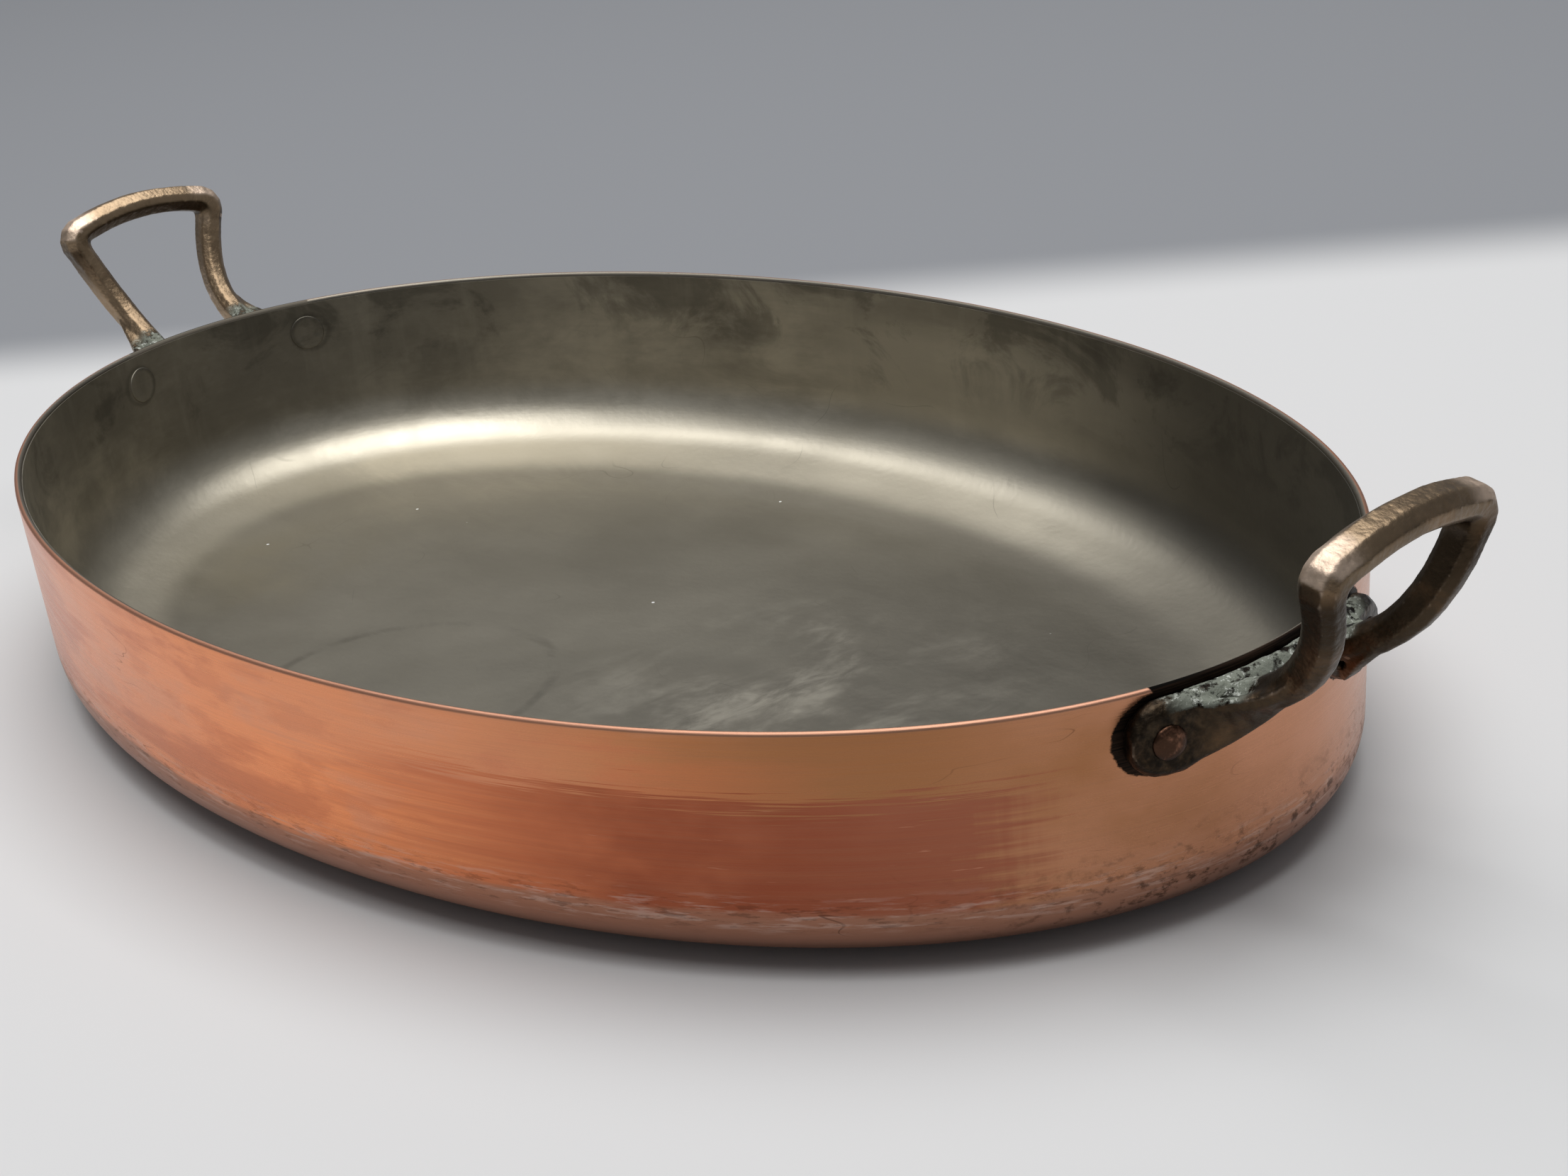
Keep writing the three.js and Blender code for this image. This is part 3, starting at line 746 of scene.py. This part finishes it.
def dish_side(sizes, below, top, fill=0):
    """Insets and heights up one side of the sheet, at a depth below its outside: curl, corner and wall."""
    radius = sizes.base_radius - below + fill
    slope = math.atan2(2 * sizes.base_curl, sizes.curl_span)
    centre_z = sizes.base_curl + below + radius * math.cos(slope)
    centre = wall_inset(sizes, centre_z) + below + radius
    foot = centre - radius * math.sin(slope)
    side = []
    for step in range(CURL_STEPS):
        share = step / CURL_STEPS
        side.append((foot + sizes.curl_span * (1 - share), below + sizes.base_curl * share ** 2))
    for step in range(CORNER_STEPS + 1):
        turn = slope + (math.pi / 2 - slope) * step / CORNER_STEPS
        side.append((centre - radius * math.sin(turn), centre_z - radius * math.cos(turn)))
    for step in range(1, WALL_STEPS + 1):
        z = centre_z + (top - centre_z) * step / WALL_STEPS
        side.append((wall_inset(sizes, z) + below, z))
    return side


def oval_rings(sizes, side):
    """Rings of the oval from insets and heights, drawn in a little to leave room for the wall to wander."""
    slack = sizes.unevenness / 4
    return [(sizes.half_length - inset - slack, sizes.half_width - inset - slack, z) for inset, z in side]


def hand_raised(piece, sizes):
    """Lets the wall wander a little, alike on every piece that follows it."""
    for axis in "XY":
        apply_modifier(
            piece, "DISPLACE", texture=lumps(f"wander_{axis}", WANDER_SIZE), texture_coords="GLOBAL",
            direction=axis, strength=sizes.unevenness, mid_level=LUMPS_MIDDLE)


class DISH_OT_copper_body(bpy.types.Operator):
    """Raises the copper body from one sheet, with a rounded base corner and a softened rim"""
    bl_idname = "dish.copper_body"
    bl_label = "Copper Body"

    def execute(self, context):
        sizes = context.scene.dish_sizes
        soft = sizes.copper / 2
        top = sizes.depth - soft
        outside = dish_side(sizes, 0, top)
        inside = dish_side(sizes, sizes.copper, top)
        middle = wall_inset(sizes, sizes.depth) + soft
        turns = [math.pi * step / (2 * RIM_STEPS) for step in range(1, 2 * RIM_STEPS)]
        rim = [(middle - soft * math.cos(turn), top + soft * math.sin(turn)) for turn in turns]
        piece = raise_rings("copper_body", oval_rings(sizes, outside + rim + inside[::-1]), sizes.segments)
        hand_raised(piece, sizes)
        finish = copper_finish(sizes, context.scene.dish_rivets, context.scene.dish_colours)
        finish_piece(piece, finish, "copper", "copper_shell")
        return {"FINISHED"}


class DISH_OT_tin_inside(bpy.types.Operator):
    """Wipes the inside with tin, up to just under the rim"""
    bl_idname = "dish.tin_inside"
    bl_label = "Tin Inside"

    def execute(self, context):
        sizes = context.scene.dish_sizes
        top = sizes.depth - sizes.copper / 2 - sizes.tin_below_rim
        under = dish_side(sizes, sizes.copper + TIN_CLEARANCE, top)
        over = dish_side(sizes, sizes.copper + sizes.tin, top, sizes.tin_fill)
        piece = raise_rings("tin_inside", oval_rings(sizes, under + over[::-1]), sizes.segments)
        hand_raised(piece, sizes)
        finish = tin_finish(sizes, context.scene.dish_rivets, context.scene.dish_colours)
        finish_piece(piece, finish, "tin", "tin_lining")
        return {"FINISHED"}


class DISH_OT_handles(bpy.types.Operator):
    """Casts the two bronze handles, with soft edges and the skin of a mould"""
    bl_idname = "dish.handles"
    bl_label = "Bronze Handles"
    MERGE_WITHIN = 1e-6
    SOFTENING_FACTOR = 0.5

    def execute(self, context):
        settings = context.scene.dish_handles
        colours = context.scene.dish_colours
        for end, hand_wear in HAND_WEAR.items():
            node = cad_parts[f"{end}_handle"]
            piece = bpy.data.objects.new(f"{end}_bronze_handle", node.data.copy())
            context.scene.collection.objects.link(piece)
            choose(piece)
            bpy.ops.object.mode_set(mode="EDIT")
            bpy.ops.mesh.select_all(action="SELECT")
            bpy.ops.mesh.remove_doubles(threshold=self.MERGE_WITHIN)
            bpy.ops.object.mode_set(mode="OBJECT")
            apply_modifier(piece, "REMESH", mode="VOXEL", voxel_size=settings.grain)
            apply_modifier(piece, "SMOOTH", factor=self.SOFTENING_FACTOR, iterations=settings.softening)
            apply_modifier(
                piece, "DISPLACE", texture=lumps("cast_skin", settings.cast_size), texture_coords="GLOBAL",
                strength=settings.cast_skin, mid_level=LUMPS_MIDDLE)
            finish = bronze_finish(f"{end}_bronze", colours, hand_wear)
            finish_piece(piece, finish, "bronze", f"{end}_handle")
        return {"FINISHED"}


class DISH_OT_rivets(bpy.types.Operator):
    """Sets the rivets: a flat tinned head inside, a hammered copper end outside"""
    bl_idname = "dish.rivets"
    bl_label = "Rivets"
    HAMMER_SIZE = 0.0042
    HEAD_SHARES = (0.3, 0.6, 0.82)
    HEAD_EDGE = 0.7
    HEAD_STEPS = 4
    PEEN_SINK = 0.0002
    # The dome stops short of the PEEN_QUARTER steps that lead to its top, which leaves it a small flat.
    PEEN_STEPS = 8
    PEEN_QUARTER = 8.6
    PEEN_ROUNDNESS = 0.75

    def execute(self, context):
        sizes, rivets = context.scene.dish_sizes, context.scene.dish_rivets
        copper = rivet_finish(context.scene.dish_colours)
        tin = bpy.data.materials["wiped_tin"]
        pattern = raise_rings("rivet_pattern", self.rings(sizes, rivets), rivets.segments)
        apply_modifier(
            pattern, "DISPLACE", texture=lumps("hammer_marks", self.HAMMER_SIZE), texture_coords="LOCAL",
            direction="Z", strength=rivets.hammering, mid_level=LUMPS_MIDDLE)
        inside = [face.center.z < -sizes.copper for face in pattern.data.polygons]
        for end_name, end in ENDS.items():
            for side_name, side in SIDES.items():
                node = f"rivet_{end_name}_{side_name}"
                piece = bpy.data.objects.new(f"{node}_hammered", pattern.data.copy())
                context.scene.collection.objects.link(piece)
                piece.matrix_world = self.seat(sizes, rivets, end, side)
                choose(piece)
                bpy.ops.object.transform_apply(location=True, rotation=True, scale=True)
                finish_piece(piece, copper, "rivet_copper", node)
                piece.data.materials.append(tin)
                piece.data.polygons.foreach_set("material_index", [int(tinned) for tinned in inside])
        bpy.data.objects.remove(pattern)
        return {"FINISHED"}

    @classmethod
    def rings(cls, sizes, rivets):
        """Rings about the rivet's axis, measured out from the wall's outside."""
        tin = -sizes.copper - sizes.tin
        bottom = tin - rivets.head_height
        edge = rivets.head_height * cls.HEAD_EDGE
        rings = [(rivets.head * share, bottom) for share in cls.HEAD_SHARES]
        for step in range(cls.HEAD_STEPS + 1):
            turn = math.pi / 2 * step / cls.HEAD_STEPS
            rings.append((rivets.head - edge + edge * math.sin(turn), bottom + edge * (1 - math.cos(turn))))
        foot = rivets.tab - cls.PEEN_SINK
        rings += [(rivets.head, tin), (rivets.shank, tin), (rivets.shank, foot)]
        for step in range(cls.PEEN_STEPS + 1):
            turn = math.pi / 2 * step / cls.PEEN_QUARTER
            dome = foot + rivets.peen_height * math.sin(turn)
            rings.append((rivets.peen * math.cos(turn) ** cls.PEEN_ROUNDNESS, dome))
        return [(radius, radius, z) for radius, z in rings]

    @staticmethod
    def seat(sizes, rivets, end, side):
        """Places a rivet made along Z on the wall, square to it."""
        angle_on_oval = math.asin(rivets.spacing / 2 / sizes.half_width)
        along, across = math.cos(angle_on_oval), math.sin(angle_on_oval)
        flat = Vector((along / sizes.half_length, across / sizes.half_width, 0)).normalized()
        z = sizes.depth - rivets.below_rim
        point = Vector((sizes.half_length * along, sizes.half_width * across, 0))
        point -= flat * wall_inset(sizes, z)
        point.z = z
        out = Vector((flat.x, flat.y, -sizes.wall_lean / sizes.depth))
        flip = Vector((end, side, 1))
        turn = (out * flip).to_track_quat("Z", "Y").to_matrix().to_4x4()
        return Matrix.Translation(point * flip) @ turn


class DISH_OT_stage(bpy.types.Operator):
    """Sets the pale floor, the soft lights and the camera"""
    bl_idname = "dish.stage"
    bl_label = "Stage"
    FLOOR_SIZE = 12
    FLOOR_CUTS = 8
    SENSOR_WIDTH = 36
    NEAREST_SEEN = 0.01
    TOP_BOX = {"size": (2.75, 1.91), "place": (-0.40, 0.39, 2.25), "aim": (-0.40, 0.39, 0)}
    FRONT_BOX = {"size": (1.4, 1.2), "place": (0.3, -0.9, 2.4), "aim": (0, 0, 0)}

    def execute(self, context):
        stage = context.scene.dish_stage
        self.floor(stage)
        self.camera(context, stage)
        self.lights(context, stage)
        context.scene.view_settings.view_transform = "Standard"
        return {"FINISHED"}

    @classmethod
    def floor(cls, stage):
        bpy.ops.object.select_all(action="DESELECT")
        bpy.ops.mesh.primitive_plane_add(size=cls.FLOOR_SIZE)
        floor = bpy.context.object
        floor.name = "studio_floor"
        bpy.ops.object.mode_set(mode="EDIT")
        bpy.ops.mesh.select_all(action="SELECT")
        bpy.ops.mesh.subdivide(number_cuts=cls.FLOOR_CUTS)
        bpy.ops.object.mode_set(mode="OBJECT")
        floor.data.materials.append(floor_finish(stage))

    @classmethod
    def camera(cls, context, stage):
        level = math.cos(stage.elevation)
        back = Vector((
            math.sin(stage.azimuth) * level, -math.cos(stage.azimuth) * level, math.sin(stage.elevation)))
        right = (-back).cross(Vector((0, 0, 1))).normalized()
        up = right.cross(-back)
        rolled = right * math.cos(stage.roll) + up * math.sin(stage.roll)
        rolled_up = up * math.cos(stage.roll) - right * math.sin(stage.roll)
        turn = Matrix((rolled, rolled_up, back)).transposed().to_4x4()
        data = bpy.data.cameras.new("photo_camera")
        data.sensor_width = cls.SENSOR_WIDTH
        data.lens = stage.lens
        data.clip_start = cls.NEAREST_SEEN
        camera = bpy.data.objects.new("photo_camera", data)
        camera.matrix_world = Matrix.Translation(Vector(stage.target) + back * stage.distance) @ turn
        context.scene.collection.objects.link(camera)
        context.scene.camera = camera

    @classmethod
    def lights(cls, context, stage):
        world = bpy.data.worlds.new("studio")
        world.use_nodes = True
        world.node_tree.nodes["Background"].inputs["Color"].default_value = rgb(stage.sky)
        context.scene.world = world
        cls.soft_box(context, "top_box", stage.top_power, **cls.TOP_BOX)
        cls.soft_box(context, "front_box", stage.front_power, **cls.FRONT_BOX)

    @staticmethod
    def soft_box(context, name, energy, size, place, aim):
        """A rectangle of light at a place, turned to face the point that it is aimed at."""
        data = bpy.data.lights.new(name, "AREA")
        data.shape = "RECTANGLE"
        data.size, data.size_y = size
        data.energy = energy
        light = bpy.data.objects.new(name, data)
        light.location = place
        light.rotation_euler = (Vector(place) - Vector(aim)).to_track_quat("Z", "Y").to_euler()
        context.scene.collection.objects.link(light)


OPERATORS = (DISH_OT_copper_body, DISH_OT_tin_inside, DISH_OT_handles, DISH_OT_rivets, DISH_OT_stage)


class DISH_PT_panel(bpy.types.Panel):
    """Buttons for the pieces of the dish, in the order that they are made"""
    bl_label = "Baking Dish"
    bl_idname = "DISH_PT_panel"
    bl_space_type = "VIEW_3D"
    bl_region_type = "UI"
    bl_category = "Baking Dish"

    def draw(self, context):
        for operator in OPERATORS:
            self.layout.operator(operator.bl_idname)


GROUPS = {
    "dish_sizes": DishSizes,
    "dish_handles": HandleSizes,
    "dish_rivets": RivetSizes,
    "dish_colours": DishColours,
    "dish_stage": StageSettings,
}
CLASSES = (*GROUPS.values(), *OPERATORS, DISH_PT_panel)


def register():
    for cls in CLASSES:
        bpy.utils.register_class(cls)
    for name, group in GROUPS.items():
        setattr(bpy.types.Scene, name, PointerProperty(type=group))


def unregister():
    for name in GROUPS:
        delattr(bpy.types.Scene, name)
    for cls in reversed(CLASSES):
        bpy.utils.unregister_class(cls)


def main():
    register()
    bpy.ops.dish.copper_body()
    bpy.ops.dish.tin_inside()
    bpy.ops.dish.handles()
    bpy.ops.dish.rivets()
    bpy.ops.dish.stage()


if __name__ == "__main__":
    main()
